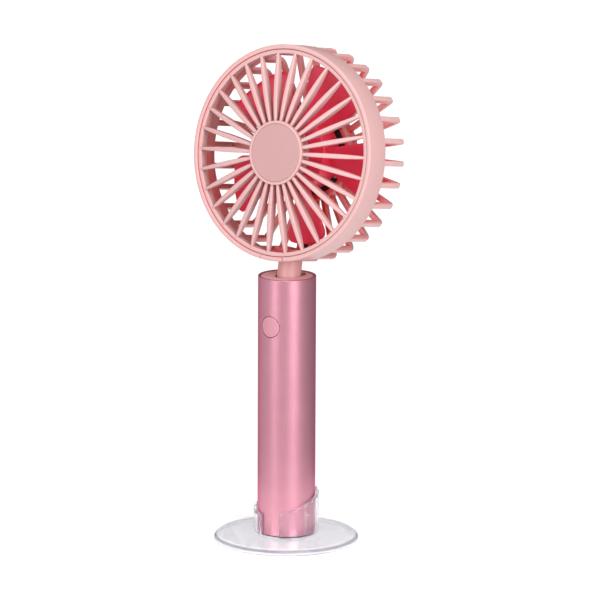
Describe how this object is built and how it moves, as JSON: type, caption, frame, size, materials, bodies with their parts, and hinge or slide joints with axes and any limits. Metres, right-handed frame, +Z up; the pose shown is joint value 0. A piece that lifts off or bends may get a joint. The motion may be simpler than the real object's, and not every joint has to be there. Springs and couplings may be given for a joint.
{
  "type": "handheld electric fan",
  "caption": "Small round-headed fan on a tubular metal handle with a push button, tilting neck and clear desk stand.",
  "frame": {"origin": "centre of the desk stand's underside, on the handle's axis", "axes": "+Z up along the handle, the fan blows towards -Y, +X to the right seen from behind the fan and to the right of the picture seen from its front"},
  "size_m": [0.1, 0.068, 0.2333],
  "materials": {
    "clear_acrylic": "clear, polished",
    "anodised_pink": "satin anodised",
    "head_plastic": "fine satin",
    "badge_plastic": "satin",
    "blade_plastic": "satin gloss",
    "button_plastic": "satin",
    "cap_plastic": "satin",
    "foot_plastic": "satin",
    "carrier_plastic": "as moulded",
    "cell_sleeve": "shrink sleeve",
    "board_laminate": "solder mask",
    "chip_epoxy": "matt",
    "switch_body": "matt",
    "light_pipe": "clear",
    "zinc_steel": "zinc plated",
    "nickel_strip": "bright",
    "bronze": "sintered",
    "magnet_ferrite": "ground",
    "core_steel": "laminated",
    "copper_wire": "enamelled",
    "lead_sleeve": "extruded"
  },
  "bodies": {
    "stand": {"desk_stand": "clear_acrylic"},
    "handle": {"handle_tube": "anodised_pink", "bottom_cap": "foot_plastic", "bottom_screws": "zinc_steel", "charge_board": "board_laminate", "charge_port": "nickel_strip", "charge_light": "light_pipe", "battery_carrier": "carrier_plastic", "battery_cell": "cell_sleeve", "battery_tabs": "nickel_strip", "battery_leads": "lead_sleeve", "circuit_board": "board_laminate", "board_screws": "zinc_steel", "board_chips": "chip_epoxy", "tact_switch": "switch_body", "top_cap": "cap_plastic", "hinge_bracket": "zinc_steel", "bracket_screws": "zinc_steel", "hinge_washers": "nickel_strip", "hinge_pin": "zinc_steel", "hinge_nut": "zinc_steel"},
    "button": {"power_button": "button_plastic", "switch_plunger": "switch_body"},
    "head": {"neck": "head_plastic", "neck_screw": "zinc_steel", "rear_cage": "head_plastic", "motor_cover": "switch_body", "cover_screws": "zinc_steel", "motor_screws": "zinc_steel", "motor_can": "nickel_strip", "motor_end_cap": "switch_body", "motor_terminals": "bronze", "motor_bushes": "bronze", "motor_magnets": "magnet_ferrite", "motor_leads": "lead_sleeve"},
    "grille": {"front_grille": "head_plastic", "grille_badge": "badge_plastic"},
    "impeller": {"impeller": "blade_plastic", "motor_shaft": "zinc_steel", "rotor_core": "core_steel", "rotor_windings": "copper_wire", "commutator": "bronze"}
  },
  "joints": [
    {"name": "fan_lift", "type": "slide", "parent": "stand", "child": "handle", "axis": [0, 0, 1], "range_m": [0, 0.03]},
    {"name": "button_press", "type": "slide", "parent": "handle", "child": "button", "axis": [0, 1, 0], "range_m": [0, 0.0004], "stiffness_N_per_m": 1500, "springref_m": -0.0002},
    {"name": "neck_tilt", "type": "hinge", "parent": "handle", "child": "head", "pos_m": [0, 0, 0.1165], "axis": [-1, 0, 0], "range_deg": [-9.5, 15]},
    {"name": "grille_twist", "type": "hinge", "parent": "head", "child": "grille", "pos_m": [0, 0.01086, 0.1814], "axis": [0, -0.9863, 0.165], "range_deg": [0, 14.5]},
    {"name": "impeller_spin", "type": "hinge", "parent": "head", "child": "impeller", "pos_m": [0, 0.01086, 0.1814], "axis": [0, -0.9863, 0.165], "continuous": true}
  ]
}
